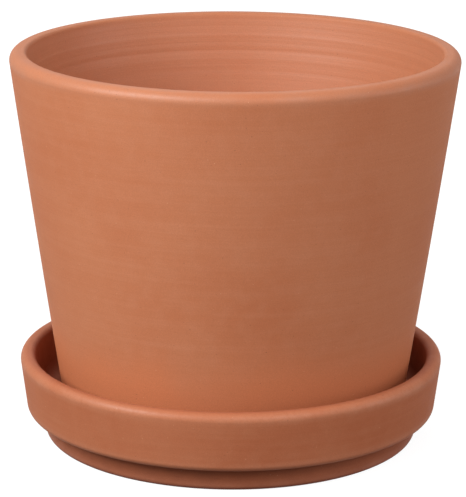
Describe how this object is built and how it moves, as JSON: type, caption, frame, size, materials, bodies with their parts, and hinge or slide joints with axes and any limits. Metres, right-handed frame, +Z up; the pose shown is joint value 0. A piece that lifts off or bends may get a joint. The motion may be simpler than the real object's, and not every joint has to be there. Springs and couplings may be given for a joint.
{
  "type": "plant pot",
  "caption": "Tapered round clay plant pot with a thick rounded lip and a drain hole, standing loose in a deep round saucer that has a narrower foot.",
  "frame": {"origin": "where the pot's axis meets the table top that the saucer's foot stands on", "axes": "+Z up along the pot's axis. The pot is round, so +X and +Y are level directions at right angles: one of the three drain channels under the pot points along +X, and the saucer's middle lies 1.6 mm towards -X"},
  "size_m": [0.2686, 0.2686, 0.2372],
  "materials": {
    "pot_clay": "unglazed, matt",
    "saucer_clay": "unglazed, matt"
  },
  "bodies": {
    "saucer": {"saucer": "saucer_clay"},
    "pot": {"pot": "pot_clay"}
  },
  "joints": [
    {"name": "pot_lift", "type": "slide", "parent": "saucer", "child": "pot", "axis": [0, 0, 1], "range_m": [0, 0.1066]}
  ]
}
